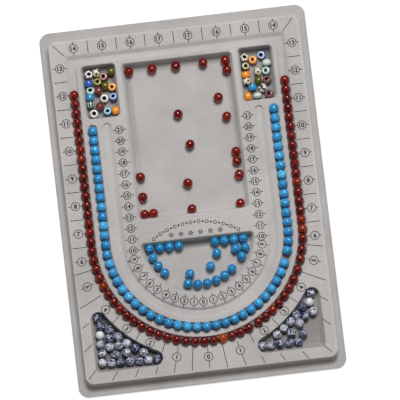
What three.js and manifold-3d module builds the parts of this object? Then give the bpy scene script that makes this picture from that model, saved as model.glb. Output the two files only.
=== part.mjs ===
// A bead board: one formed sheet with bead channels and compartments, and the beads laid out on it.
// Millimetres. X runs across the board, Y up its length and Z up from the table.
// The origin is on the table under the middle of the board.

import * as THREE from 'three';
import { mergeVertices } from 'three/addons/utils/BufferGeometryUtils.js';
import Module from 'manifold-3d';

// The sheet and its outside
const BOARD_WIDTH = 240;
const BOARD_LENGTH = 331;
const BOARD_HEIGHT = 10.5;
const BOARD_CORNER = 9;
const SHEET = 1;
const FLANGE_SIDE = 6.3;
const FLANGE_END = 8.3;
const WALL_DRAFT = 1;
const PLATEAU_CORNER = 8;

// The three U-shaped channels, one inside the other
const CHANNEL_PITCH = 13;
const CHANNEL_DEPTH = 2.6;
const CHANNEL_CLEARANCE = 0.29;
const CHANNEL_ROUNDING = 3.2;
const CHANNEL_CORNER = 4;
const SIDE_BORDER = 17.6;
const TOP_BORDER = 18.4;
const FOOT_BORDER = 28;

// The compartments
const POCKET_DRAFT = 1.5;
const POCKET_CORNER = 4;
const TRAY_WIDTH = 100;
const TRAY_LENGTH = 142.8;
const TRAY_RIDGE = 3.4;
const POCKET_WIDTH = 31.5;
const POCKET_LENGTH = 48.9;
const POCKET_RIDGE = 1.5;
const POCKET_SIDE_RIDGE = 4.1;
const CHANNEL_END_RIDGE = 4.5;
const SCALE_BAND = 17.9;
const DISH_DROP = 0.6;
const CORNER_BAND = 13.2;
const CORNER_SIDE_BORDER = 10;
const CORNER_FOOT_BORDER = 11.9;
const CORNER_TIP = 6;

// The beads
const RED_DIAMETER = 8.35;
const TURQUOISE_DIAMETER = 8.62;
const MOTTLED_DIAMETER = 8.2;
const PONY_DIAMETER = 7.8;
const PONY_LENGTH = 6;
const PONY_HOLE = 3.2;
const PONY_RIM = 6.4;
const SEAT_GAP = 0.3;
const BEAD_GAP = 0.15;
const WALL_GAP = 0.25;
const NECK = 1.6;
const SHOULDER = 0.2;
const BELLY = 0.48;

// Places that follow from those sizes
const lipX = BOARD_WIDTH / 2 - FLANGE_SIDE - WALL_DRAFT;
const lipY = BOARD_LENGTH / 2 - FLANGE_END - WALL_DRAFT;
const channelHalf = Math.max(RED_DIAMETER, TURQUOISE_DIAMETER) / 2 + CHANNEL_CLEARANCE;
const outerRadius = lipX - SIDE_BORDER;
const middleRadius = outerRadius - CHANNEL_PITCH;
const innerRadius = middleRadius - CHANNEL_PITCH;
const bendY = outerRadius + FOOT_BORDER - lipY;
const topRunY = lipY - TOP_BORDER;
const trayNorth = topRunY - channelHalf - TRAY_RIDGE;
const trayMiddleY = trayNorth - TRAY_LENGTH / 2;
const pocketNorth = topRunY - channelHalf - POCKET_RIDGE;
const pocketMiddleY = pocketNorth - POCKET_LENGTH / 2;
const pocketMiddleX = outerRadius - channelHalf - POCKET_SIDE_RIDGE - POCKET_WIDTH / 2;
const channelEndY = pocketNorth - POCKET_LENGTH - CHANNEL_END_RIDGE;
const dishRadius = innerRadius - SCALE_BAND;
const cornerRadius = outerRadius + CORNER_BAND;
const cornerSide = lipX - CORNER_SIDE_BORDER;
const cornerFoot = CORNER_FOOT_BORDER - lipY;
const pocketDepth = BOARD_HEIGHT - SHEET;
const channelFloor = BOARD_HEIGHT - CHANNEL_DEPTH;

const ARC_STEP = 11;
const CORNER_STEPS = 3;
const CHANNEL_STEPS = 3;
const BALL_SIDES = 6;
const BALL_RINGS = 4;
const PONY_SIDES = 8;
const NECK_SIDES = 3;
const SETTLE_ROUNDS = 400;

const FLOCK = new THREE.MeshStandardMaterial({ color: '#b5b1ac', roughness: 0.95, metalness: 0 });
const RED_STONE = new THREE.MeshStandardMaterial({ color: '#b3301f', roughness: 0.2, metalness: 0 });
const TURQUOISE = new THREE.MeshStandardMaterial({ color: '#4fa3bd', roughness: 0.35, metalness: 0 });
const MOTTLED_STONE = new THREE.MeshStandardMaterial({ color: '#7d849c', roughness: 0.3, metalness: 0 });

const wasm = await Module();
wasm.setup();

function solidOf(geometry) {
  const bare = geometry.clone();
  bare.deleteAttribute('normal');
  bare.deleteAttribute('uv');
  const merged = mergeVertices(bare);
  return new wasm.Manifold(
    new wasm.Mesh({
      numProp: 3,
      vertProperties: merged.attributes.position.array,
      triVerts: Uint32Array.from(merged.index.array),
    })
  );
}

function geometryOf(solid) {
  const mesh = solid.getMesh();
  const geometry = new THREE.BufferGeometry();
  geometry.setAttribute('position', new THREE.BufferAttribute(mesh.vertProperties, 3));
  geometry.setIndex(new THREE.BufferAttribute(mesh.triVerts, 1));
  geometry.computeVertexNormals();
  return geometry;
}

function joined(solids) {
  return solids.reduce((all, one) => all.add(one));
}

// Points of an arc from one angle to another, with more of them on a longer arc
function arc(x, y, radius, from, to) {
  const steps = Math.max(CORNER_STEPS, Math.ceil((radius * Math.abs(to - from)) / ARC_STEP));
  const points = [];
  for (let i = 0; i <= steps; i++) {
    const angle = from + ((to - from) * i) / steps;
    points.push(new THREE.Vector2(x + radius * Math.cos(angle), y + radius * Math.sin(angle)));
  }
  return points;
}

function roundedRectangle(x, y, width, length, radius) {
  const reachX = width / 2 - radius;
  const reachY = length / 2 - radius;
  return new THREE.Shape([
    ...arc(x + reachX, y + reachY, radius, 0, Math.PI / 2),
    ...arc(x - reachX, y + reachY, radius, Math.PI / 2, Math.PI),
    ...arc(x - reachX, y - reachY, radius, Math.PI, 1.5 * Math.PI),
    ...arc(x + reachX, y - reachY, radius, 1.5 * Math.PI, 2 * Math.PI),
  ]);
}

// A flat top with two corners, straight sides and a half round foot
function arch(halfWidth, top, radius) {
  return [
    ...arc(halfWidth - radius, top - radius, radius, 0, Math.PI / 2),
    ...arc(radius - halfWidth, top - radius, radius, Math.PI / 2, Math.PI),
    ...arc(0, bendY, halfWidth, Math.PI, 2 * Math.PI),
  ];
}

// The outer channel runs all the way round, across the top of the board too
function closedChannel() {
  const shape = new THREE.Shape(arch(outerRadius + channelHalf, topRunY + channelHalf, CHANNEL_CORNER));
  const island = arch(outerRadius - channelHalf, topRunY - channelHalf, CHANNEL_CORNER);
  shape.holes.push(new THREE.Path(island));
  return shape;
}

// The two other channels are open U shapes with round ends
function openChannel(radius) {
  const capY = channelEndY - channelHalf;
  return new THREE.Shape([
    ...arc(radius, capY, channelHalf, 0, Math.PI),
    ...arc(0, bendY, radius - channelHalf, 0, -Math.PI),
    ...arc(-radius, capY, channelHalf, 0, Math.PI),
    ...arc(0, bendY, radius + channelHalf, Math.PI, 2 * Math.PI),
  ]);
}

function dishShape() {
  const cornerY = bendY - DISH_DROP - POCKET_CORNER;
  const cornerX = Math.sqrt((dishRadius - POCKET_CORNER) ** 2 - (cornerY - bendY) ** 2);
  const tangent = Math.atan2(cornerY - bendY, cornerX);
  return new THREE.Shape([
    ...arc(cornerX, cornerY, POCKET_CORNER, tangent, Math.PI / 2),
    ...arc(-cornerX, cornerY, POCKET_CORNER, Math.PI / 2, Math.PI - tangent),
    ...arc(0, bendY, dishRadius, Math.PI - tangent, 2 * Math.PI + tangent),
  ]);
}

// A three-cornered pocket whose long side follows the bend of the channels, on the side of the given sign
function cornerShape(sign) {
  const reach = cornerRadius + CORNER_TIP;
  const highX = cornerSide - CORNER_TIP;
  const highY = bendY - Math.sqrt(reach ** 2 - highX ** 2);
  const lowY = cornerFoot + CORNER_TIP;
  const lowX = Math.sqrt(reach ** 2 - (lowY - bendY) ** 2);
  const highAngle = Math.atan2(highY - bendY, highX);
  const lowAngle = Math.atan2(lowY - bendY, lowX);
  const points = [
    ...arc(highX, highY, CORNER_TIP, 0, highAngle + Math.PI),
    ...arc(0, bendY, cornerRadius, highAngle, lowAngle),
    ...arc(lowX, lowY, CORNER_TIP, lowAngle + Math.PI, 1.5 * Math.PI),
    ...arc(cornerSide - POCKET_CORNER, cornerFoot + POCKET_CORNER, POCKET_CORNER, 1.5 * Math.PI, 2 * Math.PI),
  ];
  return new THREE.Shape(points.map((point) => new THREE.Vector2(sign * point.x, point.y)));
}

// A solid that is widest just above the given height and narrows by the draft below and above that band
function narrowing(shape, topZ, depth, draft, steps, growth = 0) {
  const geometry = new THREE.ExtrudeGeometry(shape, {
    depth: SHEET,
    bevelThickness: depth,
    bevelSize: draft,
    bevelOffset: growth - draft,
    bevelSegments: steps,
  });
  return solidOf(geometry.translate(0, 0, topZ));
}

function boardSolid() {
  const above = new THREE.BoxGeometry(BOARD_WIDTH, BOARD_LENGTH, BOARD_HEIGHT);
  const aboveTable = solidOf(above.translate(0, 0, BOARD_HEIGHT / 2));
  const flangeOutline = roundedRectangle(0, 0, BOARD_WIDTH, BOARD_LENGTH, BOARD_CORNER);
  const flange = new THREE.ExtrudeGeometry(flangeOutline, { depth: SHEET, bevelEnabled: false });
  const foot = roundedRectangle(
    0, 0, BOARD_WIDTH - 2 * FLANGE_SIDE, BOARD_LENGTH - 2 * FLANGE_END, PLATEAU_CORNER
  );
  const plateau = narrowing(foot, -SHEET, BOARD_HEIGHT, WALL_DRAFT, 1);
  const cavity = narrowing(foot, -2 * SHEET, BOARD_HEIGHT, WALL_DRAFT, 1, -SHEET);

  const channels = [closedChannel(), openChannel(middleRadius), openChannel(innerRadius)];
  const pockets = [
    roundedRectangle(0, trayMiddleY, TRAY_WIDTH, TRAY_LENGTH, POCKET_CORNER),
    roundedRectangle(-pocketMiddleX, pocketMiddleY, POCKET_WIDTH, POCKET_LENGTH, POCKET_CORNER),
    roundedRectangle(pocketMiddleX, pocketMiddleY, POCKET_WIDTH, POCKET_LENGTH, POCKET_CORNER),
    dishShape(),
    cornerShape(-1),
    cornerShape(1),
  ];
  const cuts = joined([
    ...channels.map((shape) =>
      narrowing(shape, BOARD_HEIGHT, CHANNEL_DEPTH, CHANNEL_ROUNDING, CHANNEL_STEPS)
    ),
    ...pockets.map((shape) => narrowing(shape, BOARD_HEIGHT, pocketDepth, POCKET_DRAFT, 1)),
  ]);
  const undersides = joined([
    ...channels.map((shape) =>
      narrowing(shape, BOARD_HEIGHT, CHANNEL_DEPTH + SHEET, CHANNEL_ROUNDING, 1, SHEET)
    ),
    ...pockets.map((shape) => narrowing(shape, BOARD_HEIGHT, BOARD_HEIGHT + SHEET, POCKET_DRAFT, 1, SHEET)),
  ]);
  const formed = plateau.add(solidOf(flange)).intersect(aboveTable);
  return formed.subtract(cavity.subtract(undersides)).subtract(cuts);
}

function ball(diameter) {
  return new THREE.SphereGeometry(diameter / 2, BALL_SIDES, BALL_RINGS).rotateX(Math.PI / 2);
}

// Beads that touch in a heap are one solid, with a small neck from each to the nearest one before it
function heap(centres, diameter) {
  const solids = centres.map((centre) => solidOf(ball(diameter).translate(centre.x, centre.y, 0)));
  for (let i = 1; i < centres.length; i++) {
    const earlier = centres.slice(0, i).sort((a, b) => a.distanceTo(centres[i]) - b.distanceTo(centres[i]));
    const way = centres[i].clone().sub(earlier[0]);
    const neck = new THREE.CylinderGeometry(NECK / 2, NECK / 2, way.length(), NECK_SIDES);
    neck.rotateZ(way.angle() - Math.PI / 2);
    const middle = way.multiplyScalar(0.5).add(earlier[0]);
    solids.push(solidOf(neck.translate(middle.x, middle.y, 0)));
  }
  return geometryOf(joined(solids));
}

// Beads that touch in a line are one tube, wide at each bead and narrow where two meet
function strand(centres, diameter) {
  const last = centres.length - 1;
  const rings = [];
  const addRing = (centre, way, shift, radius) => {
    const middle = centre.clone().addScaledVector(way, shift);
    const points = [];
    for (let side = 0; side < BALL_SIDES; side++) {
      const angle = (2 * Math.PI * (side + 0.5)) / BALL_SIDES;
      const out = radius * Math.cos(angle);
      points.push([middle.x - way.y * out, middle.y + way.x * out, radius * Math.sin(angle)]);
    }
    rings.push(points);
  };
  centres.forEach((centre, i) => {
    const from = centres[Math.max(i - 1, 0)];
    const to = centres[Math.min(i + 1, last)];
    const way = to.clone().sub(from).normalize();
    if (i === 0) {
      addRing(centre, way, -diameter / 2, NECK / 2);
    }
    addRing(centre, way, -SHOULDER * diameter, BELLY * diameter);
    addRing(centre, way, SHOULDER * diameter, BELLY * diameter);
    addRing(centre, way, diameter / 2, NECK / 2);
  });
  return tubeGeometry(rings);
}

// A closed tube through rings of points, with a flat face over each end
function tubeGeometry(rings) {
  const sides = rings[0].length;
  const faces = [];
  for (let ring = 0; ring + 1 < rings.length; ring++) {
    for (let side = 0; side < sides; side++) {
      const here = ring * sides + side;
      const beside = ring * sides + ((side + 1) % sides);
      faces.push(here, beside, here + sides, beside, beside + sides, here + sides);
    }
  }
  const end = (rings.length - 1) * sides;
  for (let side = 1; side + 1 < sides; side++) {
    faces.push(0, side + 1, side, end, end + side, end + side + 1);
  }
  const geometry = new THREE.BufferGeometry();
  geometry.setAttribute('position', new THREE.Float32BufferAttribute(rings.flat(2), 3));
  geometry.setIndex(faces);
  geometry.computeVertexNormals();
  return geometry;
}

function beadMesh(name, places, diameter, material, shape = strand) {
  const centres = places.map(([x, y]) => new THREE.Vector2(x, y));
  const geometry = centres.length > 1 ? shape(centres, diameter) : ball(diameter).translate(...places[0], 0);
  const mesh = new THREE.Mesh(geometry, material);
  mesh.name = name;
  return mesh;
}

// The point at a given way along a channel's middle line, from its upper left end
function alongChannel(radius, startY, way) {
  const straight = startY - bendY;
  const bend = Math.PI * radius;
  if (way < straight) {
    return [-radius, startY - way];
  }
  if (way < straight + bend) {
    const angle = Math.PI + (way - straight) / radius;
    return [radius * Math.cos(angle), bendY + radius * Math.sin(angle)];
  }
  return [radius, bendY + way - straight - bend];
}

// The rows of beads in the channels: runs of beads from the upper left end, with the play between
// neighbours in a run and the gap after it. The beads lie a little towards the inner side of a channel.
const OUTER_ROW = {
  startY: 106.5,
  inward: 0.6,
  runs: {
    outer_row_left_run: { count: 40, play: 0, gap: 1.6 },
    outer_row_foot_run: { count: 10, play: 0.35, gap: 1.2 },
    outer_row_right_run: { count: 18, play: 0.13, gap: 0 },
  },
};
const MIDDLE_ROW = {
  startY: 71.9,
  inward: 0.4,
  runs: {
    middle_row_left_run: { count: 39, play: 0, gap: 2.2 },
    middle_row_right_run: { count: 16, play: 0, gap: 0 },
  },
};

function row({ startY, inward, runs }, radius, diameter, material) {
  const group = new THREE.Group();
  let way = 0;
  for (const [name, { count, play, gap }] of Object.entries(runs)) {
    const places = [];
    for (let n = 0; n < count; n++) {
      places.push(alongChannel(radius - inward, startY, way));
      way += diameter + play;
    }
    way += gap;
    group.add(beadMesh(name, places, diameter, material));
  }
  group.position.z = channelFloor + SEAT_GAP + diameter / 2;
  return group;
}

// A pony bead is a barrel with a wide hole along its middle
function ponyGeometry() {
  const half = PONY_LENGTH / 2;
  const profile = [
    [PONY_HOLE / 2, -half],
    [PONY_RIM / 2, -half],
    [PONY_DIAMETER / 2, 0],
    [PONY_RIM / 2, half],
    [PONY_HOLE / 2, half],
    [PONY_HOLE / 2, -half],
  ];
  return new THREE.LatheGeometry(
    profile.map(([radius, height]) => new THREE.Vector2(radius, height)), PONY_SIDES
  ).rotateX(Math.PI / 2);
}

// Ways that a pony bead can lie: its hole points up, along the board's length or across it.
// Each has its turn, its reach along X and Y and the height of its middle.
const barrel = PONY_DIAMETER / 2;
const stub = PONY_LENGTH / 2;
const UP = { turn: new THREE.Matrix4(), reachX: barrel, reachY: barrel, height: stub };
const tippedForward = new THREE.Matrix4().makeRotationX(Math.PI / 2);
const tippedSideways = new THREE.Matrix4().makeRotationY(Math.PI / 2);
const ALONG = { turn: tippedForward, reachX: barrel, reachY: stub, height: barrel };
const ACROSS = { turn: tippedSideways, reachX: stub, reachY: barrel, height: barrel };
const RED = { reachX: RED_DIAMETER / 2, reachY: RED_DIAMETER / 2, height: RED_DIAMETER / 2 };

// How near two beads lie, as a share of the distance at which they would touch
function nearness(a, b) {
  const round = a.lie.reachX === a.lie.reachY && b.lie.reachX === b.lie.reachY;
  const power = round ? 2 : 3;
  const x = Math.abs(a.x - b.x) / (a.lie.reachX + b.lie.reachX + BEAD_GAP);
  const y = Math.abs(a.y - b.y) / (a.lie.reachY + b.lie.reachY + BEAD_GAP);
  return (x ** power + y ** power) ** (1 / power);
}

// How far a bead reaches into the wall of a pocket, whose draft brings the wall in towards its floor
function intoWall(place, reach, size, height) {
  const drawnIn = POCKET_DRAFT * (1 - (SEAT_GAP + height) / pocketDepth);
  const over = Math.abs(place) + reach + WALL_GAP - (size / 2 - drawnIn);
  return Math.sign(place) * Math.max(0, over);
}

function moveBeads(beads, x, y) {
  for (const bead of beads) {
    bead.x += x;
    bead.y += y;
  }
}

// Loose beads lie clear of each other and of the walls. Where a pocket is too small for the places below,
// its beads move apart and back from the walls, little by little, as they would roll.
function settled(solids, width, length) {
  for (let round = 0; round < SETTLE_ROUNDS; round++) {
    for (const [i, beads] of solids.entries()) {
      for (const others of solids.slice(0, i)) {
        for (const a of beads) {
          for (const b of others) {
            const push = Math.max(0, 1 / nearness(a, b) - 1) / 2;
            const x = push * (a.x - b.x);
            const y = push * (a.y - b.y);
            moveBeads(beads, x, y);
            moveBeads(others, -x, -y);
          }
        }
      }
      for (const bead of beads) {
        const x = intoWall(bead.x, bead.lie.reachX, width, bead.lie.height);
        const y = intoWall(bead.y, bead.lie.reachY, length, bead.lie.height);
        moveBeads(beads, -x, -y);
      }
    }
  }
  return solids;
}

// Loose red beads, as places from the middle of the tray. A pair that touches is one entry.
const LOOSE_REDS = [
  [[-43.5, 64.5]],
  [[-22.5, 64.5]],
  [[-1, 64.5]],
  [[23.5, 64.5]],
  [[43.5, 64.5], [44, 56]],
  [[33.5, 32]],
  [[-4, 21]],
  [[39, 14]],
  [[3.5, -7.5]],
  [[43.5, -18.5], [43.5, -27]],
  [[44, -39.5]],
  [[-44, -31.5]],
  [[-2.5, -42]],
  [[-44, -50]],
  [[-44, -65.5], [-36, -65.5]],
  [[-1.5, -65.5]],
  [[42, -65.5]],
];

// Turquoise beads in the dish that don't follow its wall, as places from the middle of the bend
const DISH_TOP_ROW = [[-33.5, -6.5], [-25, -6.5], [-16.5, -6.5]];
const DISH_HEAP = [
  [16, -6.6], [24.5, -6.6], [33, -6.6], [41.5, -6.6], [33.4, -15.1], [42, -15], [38.2, -22.5],
];
const DISH_SINGLES = [[[9.5, -28]], [[16.5, -17]]];
const DISH_STRAY = [-10, -34.6];
const DISH_WALL_GAP = 6.7;
const LEFT_CHAIN = { start: 188.3, count: 4 };
const FOOT_CHAIN = { start: 253.5, count: 6 };

// Mottled beads in the corner pockets, as places inward from the pocket's two outer sides
const LEFT_CORNER_BEADS = [
  [5.9, 48.6], [8.2, 40.9], [15.3, 37], [6.3, 33], [14.4, 29.2], [22.2, 29.8], [5.9, 24.8], [13.9, 21.4],
  [22.1, 21.8], [29.6, 23], [6.5, 16.4], [18.1, 14.2], [28, 14.9], [36.6, 18.1], [43.5, 13.3], [5.9, 8],
  [14.1, 7], [22.3, 6.6], [30.5, 6.6], [38.7, 6.3], [46.9, 5.9], [55.1, 6.1],
];
const RIGHT_CORNER_BEADS = [
  [7, 48.2], [8.9, 40.4], [15.8, 36.9], [6.7, 31.6], [22, 30.2], [14.4, 28.6], [27.7, 24.9], [20, 22.6],
  [34.2, 19.7], [28, 14.6], [40.9, 14.7], [18, 13], [55.5, 5.9], [47.5, 5.9], [39.3, 6.5], [30.9, 6.5],
  [22.7, 6.2],
];

// Pony beads, as places from the middle of their pocket. The hole points up, along Y or across X.
const LEFT_PONIES = [
  { colour: '#e8e4da', beads: [[-9.1, 17, UP]] },
  { colour: '#d8cdb8', beads: [[-2.1, 17.9, ACROSS]] },
  { colour: '#a9796c', beads: [[4.2, 13.2, UP]] },
  { colour: '#7d7a2e', beads: [[11.1, 17.4, ACROSS]] },
  { colour: '#2b4fa8', beads: [[-9.9, 8.9, ALONG]] },
  { colour: '#8c8a45', beads: [[-2.1, 8.9, UP], [-2.2, 1.7, ACROSS]] },
  { colour: '#7d7a2e', beads: [[4.4, 5.2, ACROSS]] },
  { colour: '#d9662b', beads: [[11.4, 3.5, UP]] },
  { colour: '#7fa8b8', beads: [[-9.8, 2, ALONG], [-10, -3.6, ALONG], [-10.2, -9.2, ALONG]] },
  { colour: '#e6e6e2', beads: [[2.6, -6.2, UP]] },
  { colour: '#3d63b5', beads: [[10.8, -5.4, UP]] },
  { colour: '#8a5347', beads: [[-2, -12.7, UP]] },
  { colour: '#e9e7e0', beads: [[-8.2, -18.7, UP]] },
  { colour: '#5d8fb0', beads: [[4.2, -18.2, UP]] },
  { colour: '#d9662b', beads: [[11.2, -17.7, ACROSS]] },
];
const RIGHT_PONIES = [
  { colour: '#ded6c6', beads: [[-9.8, 16, UP]] },
  { colour: '#e0763c', beads: [[-2.2, 13.2, UP]] },
  { colour: '#3257b0', beads: [[5.9, 16.7, UP]] },
  { colour: '#cdd5d2', beads: [[9.8, 9.3, ALONG]] },
  { colour: '#8c8a45', beads: [[-9.9, 8, UP]] },
  { colour: '#b9cfc9', beads: [[8.8, 1.9, UP]] },
  { colour: '#d9662b', beads: [[-10.1, 0.4, ALONG], [-10.1, -5.2, ALONG]] },
  { colour: '#c9bfa9', beads: [[0.7, 1.6, ACROSS], [0.6, -5.8, ACROSS]] },
  { colour: '#7a5257', beads: [[8.4, -6.4, UP]] },
  { colour: '#5d9ccb', beads: [[-5.6, -11.9, ALONG]] },
  { colour: '#3a3a3c', beads: [[3.6, -13.4, UP]] },
  { colour: '#d9662b', beads: [[-10.6, -19.3, ACROSS]] },
  { colour: '#a9bdb6', beads: [[-2.2, -19.6, ALONG]] },
  { colour: '#8a6266', beads: [[9, -19.1, UP]] },
];

function numbered(name, index) {
  return `${name}_${String(index + 1).padStart(2, '0')}`;
}

function looseReds() {
  const group = new THREE.Group();
  const solids = LOOSE_REDS.map((places) => places.map(([x, y]) => ({ x, y, lie: RED })));
  settled(solids, TRAY_WIDTH, TRAY_LENGTH).forEach((beads, i) => {
    const places = beads.map(({ x, y }) => [x, y]);
    group.add(beadMesh(numbered('red_bead', i), places, RED_DIAMETER, RED_STONE));
  });
  group.position.set(0, trayMiddleY, SHEET + SEAT_GAP + RED_DIAMETER / 2);
  return group;
}

// Touching beads along the dish's wall, from a start angle in degrees
function wallChain({ start, count }) {
  const radius = dishRadius - DISH_WALL_GAP;
  const step = 2 * Math.asin(TURQUOISE_DIAMETER / 2 / radius);
  return Array.from({ length: count }, (_, i) => {
    const angle = THREE.MathUtils.degToRad(start) + i * step;
    return [radius * Math.cos(angle), radius * Math.sin(angle)];
  });
}

function dishBeads() {
  const group = new THREE.Group();
  const chains = {
    dish_beads_top_row: DISH_TOP_ROW,
    dish_beads_left_chain: wallChain(LEFT_CHAIN),
    dish_beads_foot_chain: [DISH_STRAY, ...wallChain(FOOT_CHAIN)],
  };
  for (const [name, places] of Object.entries(chains)) {
    group.add(beadMesh(name, places, TURQUOISE_DIAMETER, TURQUOISE));
  }
  group.add(beadMesh('dish_beads_right_heap', DISH_HEAP, TURQUOISE_DIAMETER, TURQUOISE, heap));
  DISH_SINGLES.forEach((places, i) => {
    group.add(beadMesh(numbered('dish_bead', i), places, TURQUOISE_DIAMETER, TURQUOISE));
  });
  group.position.set(0, bendY, SHEET + SEAT_GAP + TURQUOISE_DIAMETER / 2);
  return group;
}

function cornerBeads(name, sign, places) {
  const turned = places.map(([x, y]) => [sign * (cornerSide - x), cornerFoot + y]);
  const mesh = beadMesh(name, turned, MOTTLED_DIAMETER, MOTTLED_STONE, heap);
  mesh.position.z = SHEET + SEAT_GAP + MOTTLED_DIAMETER / 2;
  return mesh;
}

function ponyBeads(name, sign, list) {
  const group = new THREE.Group();
  const places = list.map(({ beads }) => beads.map(([x, y, lie]) => ({ x, y, lie })));
  settled(places, POCKET_WIDTH, POCKET_LENGTH).forEach((beads, i) => {
    const solids = beads.map(({ x, y, lie }) => {
      const turned = ponyGeometry().applyMatrix4(lie.turn);
      return solidOf(turned.translate(x, y, lie.height));
    });
    const material = new THREE.MeshStandardMaterial({ color: list[i].colour, roughness: 0.25, metalness: 0 });
    const mesh = new THREE.Mesh(geometryOf(joined(solids)), material);
    mesh.name = numbered(name, i);
    group.add(mesh);
  });
  group.position.set(sign * pocketMiddleX, pocketMiddleY, SHEET + SEAT_GAP);
  return group;
}

const sheet = new THREE.Mesh(geometryOf(boardSolid()), FLOCK);
sheet.name = 'board';

const board = new THREE.Group();
board.add(
  sheet,
  row(OUTER_ROW, outerRadius, RED_DIAMETER, RED_STONE),
  row(MIDDLE_ROW, middleRadius, TURQUOISE_DIAMETER, TURQUOISE),
  looseReds(),
  dishBeads(),
  ponyBeads('pony_bead_left', -1, LEFT_PONIES),
  ponyBeads('pony_bead_right', 1, RIGHT_PONIES),
  cornerBeads('corner_beads_left', -1, LEFT_CORNER_BEADS),
  cornerBeads('corner_beads_right', 1, RIGHT_CORNER_BEADS)
);

export default board;
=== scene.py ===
import bpy
import numpy as np
from mathutils import Matrix
from mathutils.geometry import tessellate_polygon


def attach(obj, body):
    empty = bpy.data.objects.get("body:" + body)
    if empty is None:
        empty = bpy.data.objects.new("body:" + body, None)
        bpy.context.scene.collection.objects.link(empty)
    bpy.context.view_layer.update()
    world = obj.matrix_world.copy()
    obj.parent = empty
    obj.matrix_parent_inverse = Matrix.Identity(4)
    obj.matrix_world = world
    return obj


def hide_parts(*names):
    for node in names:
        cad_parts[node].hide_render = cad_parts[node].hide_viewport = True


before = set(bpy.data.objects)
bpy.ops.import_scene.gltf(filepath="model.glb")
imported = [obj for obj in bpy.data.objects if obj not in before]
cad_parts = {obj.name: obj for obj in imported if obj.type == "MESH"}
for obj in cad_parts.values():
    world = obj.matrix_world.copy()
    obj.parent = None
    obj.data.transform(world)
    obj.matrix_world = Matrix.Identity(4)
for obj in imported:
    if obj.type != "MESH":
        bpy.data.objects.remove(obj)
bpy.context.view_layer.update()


# The board: one sheet of grey styrene about a millimetre thick, drawn by vacuum over a mould, so that its
# rim, channels and compartments are all bends of the same sheet. Its top is flocked with short upright
# fibres, which keep beads from rolling, and its edge is cut off square. It lies flat on the table.
MM = 0.001
BOARD_WIDTH = 240.0
BOARD_LENGTH = 331.0
BOARD_MIDDLE = (-0.4, 1.0)
BOARD_CORNER = 9.0
FLANGE_SIDE = 6.3
FLANGE_END = 9.0
FOOT_MIDDLE = (0.0, 0.7)
FOOT_CORNER = 8.0
TOP = 10.5
SHEET = 1.0
WALL_DRAFT = 1.0
OUTER_RADIUS = 94.7
MIDDLE_RADIUS = 81.9
INNER_RADIUS = 68.6
INNER_SHARE = 0.8
CHANNEL_HALF = 4.6
CHANNEL_DEPTH = 2.6
CHANNEL_FLAT = 0.6
CHANNEL_RINGS = 13
GROOVE_HALF = 5.5
CHANNEL_END = 78.3
CHANNEL_CORNER = 4.0
END_STEEPNESS = 0.75
BEND_STEEPNESS = 0.4
BEND_REACH = 40.0
STEEP_SHARE = 0.3
STEEP_REACH = 8.0
STEEP_BLEND = 10.0
BEND_Y = -33.1
TOP_RUN_Y = 137.8
TRAY_MIDDLE_Y = 58.4
TRAY_SIZE = (100.0, 142.8)
POCKET_X = 70.65
POCKET_Y = 107.25
POCKET_SIZE = (31.5, 48.9)
POCKET_CORNER = 4.0
POCKET_DRAFT = 3.4
DISH_RADIUS = 51.2
DISH_DROP = 0.6
CORNER_RADIUS = 108.3
CORNER_SIDE = 102.7
CORNER_FOOT = -144.3
CORNER_TIP = 7.0
POINT_STEP = 3.0
LEAST_STEPS = 10
LEAST_RADIUS = 0.3
LEAST_COSINE = 0.2
BEND_STEPS = 6
FLOCK_LIGHT = "#BEBAB7"
FLOCK_DARK = "#AAA6A4"
STYRENE_GREY = "#8F8C88"


def ways(angle):
    """The way at each angle in radians: (cos, sin)."""
    return np.stack([np.cos(angle), np.sin(angle)], axis=-1)


def ramp(value, start, width):
    """0 up to the start, then rising evenly to 1 over the width. A negative width runs the other way."""
    return np.clip((value - start) / width, 0, 1)


def arc(x, y, radius, start, end):
    """Centre plus radius times (cos, sin) for angles in degrees, with the way out at each point, which points
    back to the centre of a clockwise arc, since that bends inwards. Each point also has how far it can move
    in before the arc is used up, and the way its corner moves from there on."""
    steps = max(LEAST_STEPS, round(radius * np.radians(abs(end - start)) / POINT_STEP))
    way = ways(np.radians(np.linspace(start, end, steps + 1)))
    sense = np.sign(end - start)
    half = np.radians(end - start) / 2
    room = radius - LEAST_RADIUS if sense > 0 else np.inf
    corner = ways(np.radians((start + end) / 2)) / max(np.cos(half), LEAST_COSINE)
    rest = np.broadcast_to([room, *corner], (steps + 1, 3))
    return np.hstack([np.array([x, y]) + radius * way, way * sense, rest])


def outline(*arcs):
    """Arcs joined by straight sides into a closed line, without the points that two arcs share."""
    line = np.vstack(arcs)
    step = np.linalg.norm(line[:, :2] - np.roll(line[:, :2], 1, axis=0), axis=1)
    return line[step > 0.001]


def rounded_rectangle(x, y, width, length, radius):
    """A rectangle's outline whose four corners are quarter circles."""
    across = width / 2 - radius
    along = length / 2 - radius
    return outline(
        arc(x + across, y + along, radius, 0, 90),
        arc(x - across, y + along, radius, 90, 180),
        arc(x - across, y - along, radius, 180, 270),
        arc(x + across, y - along, radius, 270, 360),
    )


def arch(half, top):
    """A flat top with two round corners, straight sides and a half round foot about the bend's middle."""
    return outline(
        arc(half - CHANNEL_CORNER, top - CHANNEL_CORNER, CHANNEL_CORNER, 0, 90),
        arc(CHANNEL_CORNER - half, top - CHANNEL_CORNER, CHANNEL_CORNER, 90, 180),
        arc(0, BEND_Y, half, 180, 360),
    )


def open_channel(radius):
    """The outline of a band of even width: two straight runs with round ends, joined by a half circle."""
    cap = CHANNEL_END - CHANNEL_HALF
    return outline(
        arc(radius, cap, CHANNEL_HALF, 0, 180),
        arc(0, BEND_Y, radius - CHANNEL_HALF, 0, -180),
        arc(-radius, cap, CHANNEL_HALF, 0, 180),
        arc(0, BEND_Y, radius + CHANNEL_HALF, 180, 360),
    )


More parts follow.
